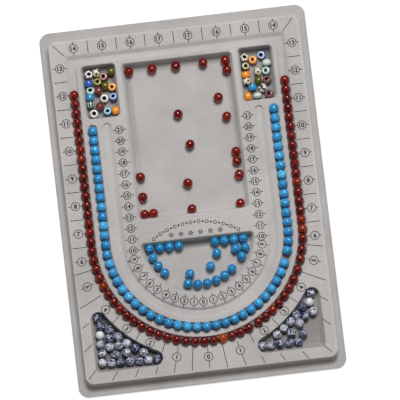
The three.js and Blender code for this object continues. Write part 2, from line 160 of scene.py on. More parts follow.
def end_lean(line):
    """A share of the slope for each point of a channel's outline: less towards its two ends, which are
    steep, and less round the bend."""
    past_end = ramp(line[:, 1], CHANNEL_END - CHANNEL_HALF, CHANNEL_HALF)
    round_bend = ramp(line[:, 1], BEND_Y, -BEND_REACH)
    return 1 - END_STEEPNESS * past_end - BEND_STEEPNESS * round_bend


def dish_outline():
    """A half circle with a straight top, whose two corners are small arcs tangent to both."""
    corner_y = -DISH_DROP - POCKET_CORNER
    corner_x = np.sqrt((DISH_RADIUS - POCKET_CORNER) ** 2 - corner_y**2)
    tangent = np.degrees(np.arctan2(corner_y, corner_x))
    return outline(
        arc(corner_x, BEND_Y + corner_y, POCKET_CORNER, tangent, 90),
        arc(-corner_x, BEND_Y + corner_y, POCKET_CORNER, 90, 180 - tangent),
        arc(0, BEND_Y, DISH_RADIUS, 180 - tangent, 360 + tangent),
    )


def corner_outline():
    """A three-cornered pocket: its long side is an arc about the bend, which two tips touch from outside."""
    reach = CORNER_RADIUS + CORNER_TIP
    high_x = CORNER_SIDE - CORNER_TIP
    high_y = -np.sqrt(reach**2 - high_x**2)
    low_y = CORNER_FOOT + CORNER_TIP - BEND_Y
    low_x = np.sqrt(reach**2 - low_y**2)
    high = np.degrees(np.arctan2(high_y, high_x))
    low = np.degrees(np.arctan2(low_y, low_x))
    return outline(
        arc(high_x, BEND_Y + high_y, CORNER_TIP, 0, high + 180),
        arc(0, BEND_Y, CORNER_RADIUS, high, low),
        arc(low_x, BEND_Y + low_y, CORNER_TIP, low + 180, 270),
        arc(CORNER_SIDE - POCKET_CORNER, CORNER_FOOT + POCKET_CORNER, POCKET_CORNER, 270, 360),
    )


def mirrored(line):
    """An outline on the other side of the board, with its points in the other order so that it still runs
    round the same way."""
    return line[::-1] * np.array([-1, 1, -1, 1, 1, -1, 1])


def bent(points, radii):
    """A bent line whose inner corners are arcs: at each corner the arc's centre lies on the line that halves
    the angle, at radius divided by the sine of half that angle."""
    points = np.array(points, dtype=float)
    parts = [points[:1]]
    for before, corner, after, radius in zip(points[:-2], points[1:-1], points[2:], radii):
        back = (before - corner) / np.linalg.norm(before - corner)
        on = (after - corner) / np.linalg.norm(after - corner)
        half = np.arccos(np.clip(back @ on, -1, 1)) / 2
        centre = corner + (back + on) / np.linalg.norm(back + on) * radius / np.sin(half)
        first = corner + back * radius / np.tan(half) - centre
        last = corner + on * radius / np.tan(half) - centre
        start = np.arctan2(first[1], first[0])
        turn = np.arctan2(first[0] * last[1] - first[1] * last[0], first @ last)
        parts.append(centre + radius * ways(start + turn * np.linspace(0, 1, BEND_STEPS + 1)))
    return np.vstack(parts + [points[-1:]])


def carried(line, profile, lean=1.0):
    """Rings of points: for each (out, height) of the profile, the outline moved out by that much at that
    height. The lean of a point is its share of the slope. Corners that are used up move in as sharp ones."""
    out = profile[:, None, :1] * np.broadcast_to(lean, len(line))[None, :, None]
    over = np.maximum(-out - line[None, :, 4:5], 0)
    flat = line[None, :, :2] + (out + over) * line[None, :, 2:4] - over * line[None, :, 5:]
    height = np.broadcast_to(profile[:, None, 1:], flat.shape[:2] + (1,))
    return np.concatenate([flat, height], axis=2)


def ring_faces(rows, columns, start=0, closed=False):
    """Four-sided faces between neighbouring rings of a grid. Each ring is closed, and closed rows join up."""
    ids = start + np.arange(rows * columns).reshape(rows, columns)
    lower = ids if closed else ids[:-1]
    upper = np.roll(ids, -1, axis=0) if closed else ids[1:]
    faces = np.stack([lower, np.roll(lower, -1, axis=1), np.roll(upper, -1, axis=1), upper], axis=2)
    return faces.reshape(-1, 4)


def piece_of(name, points, faces, *materials):
    """A mesh object at the origin from points in millimetres, with smooth faces and the given materials."""
    mesh = bpy.data.meshes.new(name)
    mesh.from_pydata(np.asarray(points).reshape(-1, 3) * MM, [], faces)
    mesh.polygons.foreach_set("use_smooth", np.ones(len(mesh.polygons), dtype=bool))
    for material in materials:
        mesh.materials.append(material)
    made = bpy.data.objects.new(name, mesh)
    bpy.context.scene.collection.objects.link(made)
    return made


def linear(code):
    """An sRGB hex colour as linear red, green and blue, with alpha 1."""
    value = np.array([int(code[i : i + 2], 16) for i in (1, 3, 5)]) / 255
    value = np.where(value <= 0.04045, value / 12.92, ((value + 0.055) / 1.055) ** 2.4)
    return (*value.tolist(), 1.0)


def add(material, kind, inputs, **settings):
    """Adds a shader node. Settings are its properties. Inputs are plain values, hex colours, outputs of nodes
    or nodes whose first output is meant. A Mix node's inputs 0, 6 and 7 are a share and two colours."""
    tree = material.node_tree
    made = tree.nodes.new("ShaderNode" + kind)
    for name, value in settings.items():
        setattr(made, name, value)
    for name, value in inputs.items():
        if isinstance(value, bpy.types.Node):
            value = value.outputs[0]
        if isinstance(value, bpy.types.NodeSocket):
            tree.links.new(value, made.inputs[name])
        else:
            made.inputs[name].default_value = linear(value) if isinstance(value, str) else value
    return made


def new_material(name, **values):
    """A material whose one shader has the given plain values. Returns it, that shader and its coordinates."""
    made = bpy.data.materials.new(name)
    made.use_nodes = True
    shader = made.node_tree.nodes["Principled BSDF"]
    for key, value in values.items():
        shader.inputs[key.replace("_", " ").title().replace("Ior", "IOR")].default_value = value
    place = add(made, "TexCoord", {}).outputs["Object"]
    return made, shader, place


# Flocking: upright fibres that scatter light evenly, a soft sheen at low angles and a grain of lighter and
# darker tufts. Real fibres are a tenth of a millimetre wide, so the grain is drawn about ten times as coarse.
# Painted shade and painted highlights come from the mesh as a share of the colour.
flock, shader, place = new_material(
    "grey_flocking", roughness=1.0, sheen_weight=0.6, sheen_roughness=0.5, ior=1.4
)
grain = add(flock, "TexNoise", {"Vector": place, "Scale": 1 / (1.1 * MM), "Detail": 3.0})
patch = add(flock, "TexNoise", {"Vector": place, "Scale": 1 / (38 * MM), "Detail": 2.0})
tone = add(flock, "Math", {0: grain, 1: patch}, operation="ADD")
depth = add(flock, "MapRange", {"Value": tone, "From Min": 0.7, "From Max": 1.3})
colour = add(flock, "Mix", {0: depth, 6: FLOCK_DARK, 7: FLOCK_LIGHT}, data_type="RGBA")
# The mesh's share of painted light and shade darkens or lightens the flocking's colour
painted_light_share = add(flock, "Attribute", {}, attribute_name="painted_light_and_shade")
flock_with_painted_light = add(
    flock,
    "Mix",
    {0: 1.0, 6: colour.outputs[2], 7: painted_light_share.outputs["Fac"]},
    data_type="RGBA",
    blend_type="MULTIPLY",
)
nap = add(flock, "Bump", {"Height": grain, "Strength": 0.25, "Distance": 0.3 * MM})
flock.node_tree.links.new(flock_with_painted_light.outputs[2], shader.inputs["Base Color"])
flock.node_tree.links.new(nap.outputs[0], shader.inputs["Normal"])

# Bare styrene on the underside and the cut edge: plain dull plastic with a faint ripple from the mould.
styrene, shader, place = new_material("bare_styrene", roughness=0.55, ior=1.55)
ripple = add(styrene, "TexNoise", {"Vector": place, "Scale": 1 / (6 * MM)})
colour = add(styrene, "Mix", {0: ripple, 6: STYRENE_GREY, 7: FLOCK_DARK}, data_type="RGBA")
styrene.node_tree.links.new(colour.outputs[2], shader.inputs["Base Color"])

# The sheet in section: how far out and how high each bend lies, then the radius of each bend
pocket_wall = bent([(1.3, TOP), (0, TOP), (-POCKET_DRAFT, SHEET), (-5.4, SHEET)], [1.7, 2.6])
wall_and_foot = np.vstack([pocket_wall, [-9.0, SHEET]])
sharp_bends = bent([(0.55, TOP), (0, TOP), (-2.3, SHEET), (-3.9, SHEET)], [0.68, 1.9])
sharp_wall = np.vstack([sharp_bends, [-8.0, SHEET]])
outer_wall = bent([(4.4, SHEET), (0, SHEET), (-WALL_DRAFT, TOP), (-2.6, TOP)], [3.6, 0.9])
edge_roll = np.array([[0, SHEET + 0.5], [-0.3, SHEET + 0.9], [-1.0, SHEET + 1.0]])
reach = np.linspace(GROOVE_HALF, CHANNEL_FLAT, CHANNEL_RINGS)
dip = CHANNEL_DEPTH * (1 + np.cos(np.pi * reach / GROOVE_HALF)) / 2
channel_wall = np.stack([reach - CHANNEL_HALF, TOP - dip], axis=1)
channel_floor = channel_wall[-1, 1]
steep_wall = bent([(0.5, TOP), (0, TOP), (-1.0, channel_floor), (-4.0, channel_floor)], [0.45, 1.4])
island_wall = steep_wall[::-1] * np.array([-1, 1])
shallow_wall = channel_wall * np.array([1, INNER_SHARE]) + np.array([0, (1 - INNER_SHARE) * TOP])

edge_line = rounded_rectangle(*BOARD_MIDDLE, BOARD_WIDTH, BOARD_LENGTH, BOARD_CORNER)
foot_line = rounded_rectangle(
    *FOOT_MIDDLE, BOARD_WIDTH - 2 * FLANGE_SIDE, BOARD_LENGTH - 2 * FLANGE_END, FOOT_CORNER
)
edge = carried(edge_line, edge_roll)
middle_line = open_channel(MIDDLE_RADIUS)
past_bend = np.minimum(middle_line[:, 1] - BEND_Y, 0)
inside = np.hypot(middle_line[:, 0], past_bend) < MIDDLE_RADIUS
middle_lean = np.minimum(end_lean(middle_line), np.where(inside, STEEP_SHARE, 1.0))
inner_line = open_channel(INNER_RADIUS)
corner_line = corner_outline()
from_bend = np.hypot(corner_line[:, 0], corner_line[:, 1] - BEND_Y) - CORNER_RADIUS
corner_lean = STEEP_SHARE + (1 - STEEP_SHARE) * ramp(from_bend, STEEP_REACH, STEEP_BLEND)
tray_line = rounded_rectangle(0, TRAY_MIDDLE_Y, *TRAY_SIZE, POCKET_CORNER)
left_line, right_line = [
    rounded_rectangle(side * POCKET_X, POCKET_Y, *POCKET_SIZE, POCKET_CORNER) for side in (-1, 1)
]
strips = {
    "rim": np.concatenate([edge, carried(foot_line, outer_wall)]),
    "outer": carried(arch(OUTER_RADIUS + CHANNEL_HALF, TOP_RUN_Y + CHANNEL_HALF), channel_wall),
    "island": carried(arch(OUTER_RADIUS - CHANNEL_HALF, TOP_RUN_Y - CHANNEL_HALF), island_wall),
    "middle": carried(middle_line, channel_wall, middle_lean),
    "inner": carried(inner_line, shallow_wall, end_lean(inner_line)),
    "tray": carried(tray_line, wall_and_foot),
    "left_pocket": carried(left_line, sharp_wall),
    "right_pocket": carried(right_line, sharp_wall),
    "dish": carried(dish_outline(), wall_and_foot),
    "right_corner": carried(corner_line, pocket_wall, corner_lean),
    "left_corner": carried(mirrored(corner_line), pocket_wall, corner_lean[::-1]),
}
board_points = np.concatenate([strip.reshape(-1, 3) for strip in strips.values()])
rings = {}
strip_faces = []
start = 0
for name, strip in strips.items():
    rows, columns = strip.shape[:2]
    rings[name] = start + np.arange(rows * columns).reshape(rows, columns)
    strip_faces.append(ring_faces(rows, columns, start))
    start += rows * columns


def flat_face(*loops):
    """Triangles across a level face between an outer ring of points and the rings of its holes, facing up."""
    ids = np.concatenate(loops)
    corners = np.array(tessellate_polygon([board_points[loop].tolist() for loop in loops]))
    a, b, c = board_points[ids[corners]].transpose(1, 0, 2)
    facing = (b - a)[:, 0] * (c - a)[:, 1] - (b - a)[:, 1] * (c - a)[:, 0]
    corners[facing < 0] = corners[facing < 0][:, ::-1]
    return ids[corners[np.abs(facing) > 1e-9]]


hollows = ["middle", "inner", "tray", "left_pocket", "right_pocket", "dish"]
level_faces = [
    flat_face(rings["rim"][-1], rings["outer"][0], rings["left_corner"][0], rings["right_corner"][0]),
    flat_face(rings["island"][-1], *[rings[name][0] for name in hollows]),
    flat_face(rings["outer"][-1], rings["island"][0]),
    *[flat_face(rings[name][-1]) for name in hollows + ["left_corner", "right_corner"]],
]
quads = np.concatenate(strip_faces)
triangles = np.concatenate(level_faces)
board = piece_of("flocked_board", board_points, quads.tolist() + triangles.tolist(), flock, styrene)
board.data.polygons.foreach_set("use_smooth", np.arange(len(quads) + len(triangles)) < len(quads))
wall = board.modifiers.new("sheet thickness", "SOLIDIFY")
wall.thickness = SHEET * MM
wall.offset = -1
wall.material_offset = 1
wall.material_offset_rim = 1

# Painted light and shade, as a share of the flocking's colour: the flange is darker, the floors, the far
# walls and the channels that hold beads carry painted shade, and the lip of the rim has a painted highlight.
# The near side has its own painted shadow and lighter foot.
FLOOR_SHADE = 0.965
FLANGE_SHADE = 0.88
FOOT_SHADE = 0.94
LIP_HIGHLIGHT = 1.16
NEAR_Y = -150.0
NEAR_EDGE_SHADE = 1.3
NEAR_FOOT_SHADES = (1.1, 1.25)
NEAR_LIP_SHADES = (0.6, 1.0)
WALL_SHADES = {
    "left_pocket": (0.3, 0.55),
    "right_pocket": (0.3, 0.55),
    "dish": (0.3, 0.95),
    "tray": (0.6, 1.0),
}
FAR_REACH = 10.0
FAR_BLEND = 3.0
SIDE_FOOT = 0.3
FAR_FOOT = 0.8
POCKET_FLOOR_SHADE = 0.29
OPEN_WALL_SHARE = 0.4
OPEN_WALL_X = 1.0
OPEN_WALL_HALF = 9.0
OPEN_WALL_BLEND = 6.0
CORNER_SHADES = {"left_corner": (0.44, 0.42), "right_corner": (0.6, 0.5)}
CHANNEL_SHADES = (0.5, 0.95, 1.0)
BEADED_Y = 108.0
BEADED_BLEND = 4.0
shades = {
    name: np.interp(strip[:, :, 2], [SHEET, TOP], [FLOOR_SHADE, 1.0]) for name, strip in strips.items()
}
foot_rows = slice(-2 * BEND_STEPS - 2, -BEND_STEPS - 2)
lip_rows = slice(-BEND_STEPS - 1, -1)
# The near side: a painted shadow on the lip and upper wall, with the foot and outer edge painted lighter
# where that shadow fades. Elsewhere the foot carries painted shade and the lip a painted highlight.
near_side = strips["rim"][-1, :, 1] < NEAR_Y
near_foot = np.linspace(*NEAR_FOOT_SHADES, BEND_STEPS)[:, None]
near_lip = np.linspace(*NEAR_LIP_SHADES, BEND_STEPS)[:, None]
shades["rim"][: len(edge) + 3] = FLANGE_SHADE
shades["rim"][:2] = np.where(near_side, NEAR_EDGE_SHADE, FLANGE_SHADE)
shades["rim"][foot_rows] *= np.where(near_side, near_foot, FOOT_SHADE)
shades["rim"][lip_rows] = np.where(near_side, near_lip, LIP_HIGHLIGHT)

# Compartments: painted shade on the far wall, on the other walls and on the feet below them, which keep a
# share of their colour; the pocket floors carry painted shade too
for name, (far_shade, side_shade) in WALL_SHADES.items():
    x, y, z = strips[name].transpose(2, 0, 1)
    far = ramp(y, y.max() - FAR_REACH, FAR_BLEND)
    # The dish's far wall has less painted shade in its middle, where no beads stand against it
    if name == "dish":
        far *= OPEN_WALL_SHARE + (1 - OPEN_WALL_SHARE) * ramp(np.abs(x - OPEN_WALL_X), OPEN_WALL_HALF, OPEN_WALL_BLEND)
    on_wall = np.interp(z, [SHEET, SHEET + 1, TOP - 0.5], [0, 1, 0])
    on_floor = np.interp(z, [SHEET, SHEET + 1], [1, 0])
    at_foot = on_floor.copy()
    at_foot[-1] = 0
    shades[name] -= (on_wall + SIDE_FOOT * at_foot) * (1 - side_shade)
    shades[name] -= far * (on_wall + FAR_FOOT * at_foot) * (side_shade - far_shade)
    if "pocket" in name:
        shades[name] -= POCKET_FLOOR_SHADE * on_floor
# Corner pockets: darker floors and walls, as painted shade among the heaped beads
for name, (floor_shade, wall_shade) in CORNER_SHADES.items():
    height = strips[name][:, :, 2]
    shades[name] = np.interp(height, [SHEET, TOP - 1, TOP], [floor_shade, wall_shade, 1.0])
# Channels where the rows lie: painted shade on their floors and lower walls, under and between the beads
for name in ("outer", "island", "middle"):
    y, z = strips[name].transpose(2, 0, 1)[1:]
    gap_shade = np.interp(z, [channel_floor, TOP - 1.2, TOP], CHANNEL_SHADES)
    shades[name] += ramp(y, BEADED_Y, -BEADED_BLEND) * (gap_shade - shades[name])
painted_light_and_shade = board.data.attributes.new("painted_light_and_shade", "FLOAT", "POINT")
painted_light_and_shade.data.foreach_set("value", np.concatenate([rows.ravel() for rows in shades.values()]))
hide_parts("board")
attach(board, "board")


# The printed scales: thin black ink stamped on the flocking, in inches round the outside and in centimetres
# inside the channels. Each number stands in a ring with a short tick on either side.
# A string of dots and a row of small flowers decorate the strip above the dish.
INK_HEIGHT = TOP + 0.04
INK_BLACK = "#0D0C0C"
INK_WORN = "#221F1E"
LINE = 0.6
TICK = 2.6
RING_SIDES = 32
FIGURE_SIZE = 1.48
FIGURE_BOLD = 0.033
PRINT_SHIFT = np.array([-0.6, 0.9])
OUTER_RING = 3.8
INNER_RING = 3.5
INCH_SIDE_X = {-1: -104.1, 1: 105.4}
INCH_SIX_Y = {-1: -44.7, 1: -45.5}
INCH_SIDE_STEP = 25.09
INCH_TURN = 14.25
INCH_WIDER = 0.8
NOUGHT_TURN = -0.8
NOUGHT_RADIUS = 109.4
NOUGHT_LINES = ((99.8, 104.0), (115.0, 119.0))
INCH_BEND_RADII = (110.4, 104.7, 103.9, 104.7, 107.4)
INCH_TOP_X = 90.2
INCH_TOP_SHIFT = 0.2
INCH_TOP_Y = 147.8
INCH_TOP_STEP = 25.65
SIDE_LINE = {-1: (-98.7, -110.7), 1: (99.7, 111.3)}
TOP_LINE = (142.4, 153.6)
TOP_LINE_SHIFT = 0.4
TOP_LINE_STEP = 25.8
CORNER_LINE = ((98.4, 141.5), (108.3, 152.6))
CM_SIDE_X = {-1: -57.2, 1: 58.0}
CM_LAST_Y = {-1: 69.8, 1: 69.2}
CM_STEP = 9.98
CM_RADIUS = 59.5
CM_TURN = 8.4
DOT_ARC_HALF = 33.0
DOT_ARC_RADIUS = 70.0
DOT_ARC_Y = -90.6
DOT_COUNT = 23
BIG_DOT = (1.35, 0.6)
SMALL_DOT = (0.45, 0.88)
FLOWER_COUNT = 6
FLOWER_HALF = 22.0
FLOWER_Y = -30.2
FLOWER_EYE = (0.75, 0.5)
PETAL_COUNT = 6
PETAL_REACH = 1.75
PETAL = (0.3, 0.58)


def letter_mesh(words, size):
    """The outline font's flat shape of some figures, centred on the origin: its points and its triangles."""
    curve = bpy.data.curves.new("figures", "FONT")
    curve.body = words
    curve.size = size
    curve.align_x = "CENTER"
    curve.align_y = "CENTER"
    curve.resolution_u = 2
    curve.offset = FIGURE_BOLD * size
    shown = bpy.data.objects.new("figures", curve)
    bpy.context.scene.collection.objects.link(shown)
    bpy.context.view_layer.update()
    mesh = bpy.data.meshes.new_from_object(shown.evaluated_get(bpy.context.evaluated_depsgraph_get()))
    mesh.calc_loop_triangles()
    points = np.empty(len(mesh.vertices) * 3)
    mesh.vertices.foreach_get("co", points)
    corners = np.empty(len(mesh.loop_triangles) * 3, dtype=int)
    mesh.loop_triangles.foreach_get("vertices", corners)
    bpy.data.objects.remove(shown)
    bpy.data.curves.remove(curve)
    bpy.data.meshes.remove(mesh)
    points = points.reshape(-1, 3)[:, :2]
    points -= (points.min(axis=0) + points.max(axis=0)) / 2
    return points, corners.reshape(-1, 3)


def repeated(faces, count, size):
    """The faces of a number of copies of a shape, whose points are listed copy after copy."""
    return (faces[None] + size * np.arange(count)[:, None, None]).reshape(-1, faces.shape[1])


def copies(points, faces, places, turns=0.0):
    """Flat copies of one shape: each turned by its angle in degrees and moved to its place."""
    angle = np.radians(np.broadcast_to(turns, len(places)))
    turn = np.array([[np.cos(angle), -np.sin(angle)], [np.sin(angle), np.cos(angle)]]).transpose(2, 0, 1)
    moved = np.einsum("nij,vj->nvi", turn, points) + places[:, None, :]
    return moved.reshape(-1, 2), repeated(faces, len(places), len(points))


def ring_shape(radius, width):
    """A flat ring: two circles of points joined by faces."""
    line = ways(np.radians(np.arange(RING_SIDES) * 360 / RING_SIDES))
    points = np.concatenate([(radius + width / 2) * line, (radius - width / 2) * line])
    return points, ring_faces(2, RING_SIDES)


def stroke(first, last):
    """A straight ink line from one point to another."""
    first, last = np.array([first, last], dtype=float)
    way = (last - first) / np.linalg.norm(last - first)
    side = np.array([-way[1], way[0]]) * LINE / 2
    return np.array([first - side, last - side, last + side, first + side]), np.array([[0, 1, 2, 3]])


def around_bend(radius, angle):
    """A point round the middle of the bend, at a radius and an angle in degrees from straight down."""
    return radius * ways(np.radians(angle - 90)) + [0, BEND_Y]


def inch_turn(side, step):
    """The angle in degrees of an inch mark round the bend: even steps, a little wider next to the nought,
    which stands left of the middle."""
    widened = INCH_TURN * step + INCH_WIDER * np.sin(np.pi * min(step, 3) / 3)
    return side * widened + NOUGHT_TURN * (1 - step / 5)


def side_height(side, step):
    """The height of an inch mark beside a straight run of the outer channel."""
    return INCH_SIX_Y[side] + INCH_SIDE_STEP * (step - 6)


# Each number: its figures, its place, the turn of the figures, that of its two ticks and its ring's radius
marks = []
for side in (-1, 1):
    for number in range(6, 14):
        marks.append((number, (INCH_SIDE_X[side], side_height(side, number)), 0, 0, OUTER_RING))
    for number, radius in enumerate(INCH_BEND_RADII, start=1):
        turn = inch_turn(side, number)
        marks.append((number, around_bend(radius, turn), turn, turn + 90, OUTER_RING))
    for number in range(14, 18):
        place = (side * (INCH_TOP_X - INCH_TOP_STEP * (number - 14)) + INCH_TOP_SHIFT, INCH_TOP_Y)
        marks.append((number, place, 0, 90, OUTER_RING))
    for number in range(10, 22):
        height = CM_LAST_Y[side] - CM_STEP * (21 - number)
        marks.append((number, (CM_SIDE_X[side], height), 0, 0, INNER_RING))
    for number in range(1, 10):
        turn = side * CM_TURN * number
        marks.append((number, around_bend(CM_RADIUS, turn), turn, turn + 90, INNER_RING))
marks.append((0, around_bend(NOUGHT_RADIUS, NOUGHT_TURN), 0, 90, OUTER_RING))
marks.append((0, around_bend(CM_RADIUS + 0.3, NOUGHT_TURN / 2), 0, 90, INNER_RING))
figures, places, turns, tick_turns, radii = [np.array(column) for column in zip(*marks)]

ink_parts = []
for radius in (OUTER_RING, INNER_RING):
    chosen = radii == radius
    tick = stroke((radius, 0), (radius + TICK, 0))
    ink_parts.append(copies(*ring_shape(radius, LINE), places[chosen]))
    ink_parts.append(copies(*tick, places[chosen], tick_turns[chosen]))
    ink_parts.append(copies(*tick, places[chosen], tick_turns[chosen] + 180))
    for number in np.unique(figures[chosen]):
        same = chosen & (figures == number)
        shape = letter_mesh(str(number), FIGURE_SIZE * radius)
        ink_parts.append(copies(*shape, places[same], turns[same]))

# Lines without a number: an inch step and how far from the middle of the bend the line starts and ends
bend_lines = [
    (0.5, 101.0, 121.6), (1, 101.5, 105.0), (1, 116.0, 124.5), (1.5, 100.5, 109.3), (1.5, 122.8, 130.0),
    (2, 130.0, 138.0), (2.5, 100.0, 108.5), (2.5, 140.5, 149.7), (3, 150.5, 160.3), (3.5, 99.5, 108.5),
    (3.5, 135.0, 144.5), (4, 123.5, 131.5), (4.5, 100.4, 122.6), (5.5, 98.6, 114.0),
]
for first, last in NOUGHT_LINES:
    ink_parts.append(stroke(around_bend(first, NOUGHT_TURN), around_bend(last, NOUGHT_TURN)))
for side in (-1, 1):
    for step in np.arange(6.5, 13):
        height = side_height(side, step)
        ink_parts.append(stroke(*[(x, height) for x in SIDE_LINE[side]]))
    for step, first, last in bend_lines:
        turn = inch_turn(side, step)
        ink_parts.append(stroke(around_bend(first, turn), around_bend(last, turn)))
    ink_parts.append(stroke(*[(side * x, y) for x, y in CORNER_LINE]))
for step in np.arange(-3, 4):
    ink_parts.append(stroke(*[(TOP_LINE_SHIFT + TOP_LINE_STEP * step, y) for y in TOP_LINE]))

turn = np.radians(np.linspace(90 + DOT_ARC_HALF, 90 - DOT_ARC_HALF, DOT_COUNT))
dot_places = DOT_ARC_RADIUS * ways(turn) + [0, DOT_ARC_Y]
flower_places = np.linspace((-FLOWER_HALF, FLOWER_Y), (FLOWER_HALF, FLOWER_Y), FLOWER_COUNT)
petals = PETAL_REACH * ways(np.arange(PETAL_COUNT) * 2 * np.pi / PETAL_COUNT)
petal_places = (flower_places[:, None, :] + petals[None]).reshape(-1, 2)
ink_parts.append(copies(*ring_shape(*BIG_DOT), dot_places[::2]))
ink_parts.append(copies(*ring_shape(*SMALL_DOT), dot_places[1::2]))
ink_parts.append(copies(*ring_shape(*PETAL), petal_places))
ink_parts.append(copies(*ring_shape(*FLOWER_EYE), flower_places))

# Stamped ink: matt black, a little worn where the fibres poke through it.
ink, shader, place = new_material("stamped_ink", roughness=0.85, ior=1.45)
wear = add(ink, "TexNoise", {"Vector": place, "Scale": 1 / (1.5 * MM), "Detail": 2.0})
thin = add(ink, "MapRange", {"Value": wear, "From Min": 0.45, "From Max": 0.75})
colour = add(ink, "Mix", {0: thin, 6: INK_BLACK, 7: INK_WORN}, data_type="RGBA")
ink.node_tree.links.new(colour.outputs[2], shader.inputs["Base Color"])


def raised(flat, height):
    """Flat points, all lifted to one height."""
    return np.column_stack([flat, np.full(len(flat), height)])


ink_flat = np.concatenate([part[0] for part in ink_parts]) + PRINT_SHIFT
ink_starts = np.cumsum([0] + [len(part[0]) for part in ink_parts])
ink_faces = [(part[1] + start).tolist() for part, start in zip(ink_parts, ink_starts)]
scales = piece_of("printed_scales", raised(ink_flat, INK_HEIGHT), sum(ink_faces, []), ink)
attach(scales, "board")


# The red beads: round carnelian beads with a thin stringing hole, tumbled and polished, so no two are quite
# alike. A row of them lies in the outer channel and more lie loose in the tray.
RED_DIAMETER = 8.35
RED_GIRTH = 1.07
RED_PAIR_GIRTH = 1.03
# A row's radius, how far up the board it starts, and its rise above the channel's floor
RED_ROW = (OUTER_RADIUS - 0.2, 106.5, 0.4)
RED_TONES = (0.1, 0.5)
RED_REST = 5.5
HOLE = 0.12
DIMPLE = 0.8
DIMPLE_FLOOR = 0.7
ROUNDNESS = (0.98, 1.0)
COARSE_SIDES = 12
FINE_SIDES = 24
RED_LIGHT = "#B82C18"
RED_DEEP = "#8E1812"
RED_ORANGE = "#E8641C"
chance = np.random.default_rng(8)


def spun(radius, height, sides):
    """Rings about Z: each (radius, height) of a profile, turned round in even steps."""
    flat = np.multiply.outer(radius, ways(np.arange(sides) * 2 * np.pi / sides))
    return np.column_stack([flat.reshape(-1, 2), np.repeat(height, sides)])


def drilled_ball(sides):
    """A ball of radius 1 with a drilled dimple at both ends of Z: rings at the sine and cosine of the angle
    from the pole, and a smaller ring at each end that closes the dimple's floor."""
    bands = sides // 2 + 1
    angle = np.linspace(np.arcsin(HOLE), np.pi - np.arcsin(HOLE), bands)
    radius = np.concatenate([[DIMPLE_FLOOR * HOLE], np.sin(angle), [DIMPLE_FLOOR * HOLE]])
    height = np.concatenate([[-DIMPLE], -np.cos(angle), [DIMPLE]])
    floors = np.stack([np.arange(sides)[::-1], (bands + 1) * sides + np.arange(sides)])
    return spun(radius, height, sides), ring_faces(bands + 2, sides), floors


def any_turn(count):
    """Turning matrices about random axes: four normal numbers, scaled to length 1, are a quaternion."""
    four = chance.normal(size=(4, count))
    w, x, y, z = four / np.linalg.norm(four, axis=0)
    rows = [
        [1 - 2 * (y * y + z * z), 2 * (x * y - w * z), 2 * (x * z + w * y)],
        [2 * (x * y + w * z), 1 - 2 * (x * x + z * z), 2 * (y * z - w * x)],
        [2 * (x * z - w * y), 2 * (y * z + w * x), 1 - 2 * (x * x + y * y)],
    ]
    return np.array(rows).transpose(2, 0, 1)


def along_row(centres):
    """Turning matrices that lay each bead's hole along its row: the third column points to the next bead."""
    way = np.gradient(centres, axis=0)
    way /= np.linalg.norm(way, axis=1, keepdims=True)
    side = np.cross([0, 0, 1], way)
    return np.stack([side, np.broadcast_to([0.0, 0, 1], way.shape), way], axis=2)


def bead_piece(stone, node, body, centres, tones, turns=None, girth=1.0, sides=COARSE_SIDES):
    """One mesh of drilled balls of a stone, which is a name, slot, diameter and material; its slot is not
    used. Each is a little out of round, turned at random or as given, wider by its girth around its hole, and
    has its own tone."""
    name, slot, diameter, material = stone
    points, faces, floors = drilled_ball(sides)
    count = len(centres)
    squeeze = chance.uniform(*ROUNDNESS, size=(count, 1, 3)) * [girth, girth, 1]
    round_points = points[None] * squeeze * diameter / 2
    if turns is None:
        turns = any_turn(count)
    moved = np.einsum("nij,nvj->nvi", turns, round_points) + centres[:, None, :]
    walls = repeated(faces, count, len(points)).tolist()
    ends = repeated(floors, count, len(points)).tolist()
    made = piece_of(f"{name}_{node}", moved, walls + ends, material)
    tone = made.data.attributes.new("tone", "FLOAT", "POINT")
    tone.data.foreach_set("value", np.repeat(tones, len(points)))
    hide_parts(node)
    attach(made, body)


def along_channel(radius, start, way):
    """Points of a channel's middle line: down the left side, round the bend and up the right side."""
    straight = start - BEND_Y
    bend = np.pi * radius
    angle = np.pi + np.clip((way - straight) / radius, 0, np.pi)
    down = np.minimum(way, straight)
    up = np.maximum(way - straight - bend, 0)
    x = radius * np.cos(angle)
    y = BEND_Y + radius * np.sin(angle) + (straight - down) + up
    return np.stack([x, y], axis=1)


def bead_rows(stone, body, radius, start, rise, girth, usual, runs):
    """Beads in runs along a channel, from a start on its left side and a rise above its floor. A run is made
    of groups, which are how many beads, how far apart they are and the gap after them, and of special tones
    by a bead's place in the run. Other tones are drawn from the usual range."""
    height = TOP - CHANNEL_DEPTH + rise + stone[2] / 2
    way = 0.0
    for node, (groups, special) in runs.items():
        lengths = []
        for count, pitch, gap in groups:
            lengths.append(way + pitch * np.arange(count))
            way += count * pitch + gap
        centres = raised(along_channel(radius, start, np.concatenate(lengths)), height)
        tones = chance.uniform(*usual, len(centres))
        tones[list(special)] = list(special.values())
        bead_piece(stone, node, body, centres, tones, along_row(centres), girth)


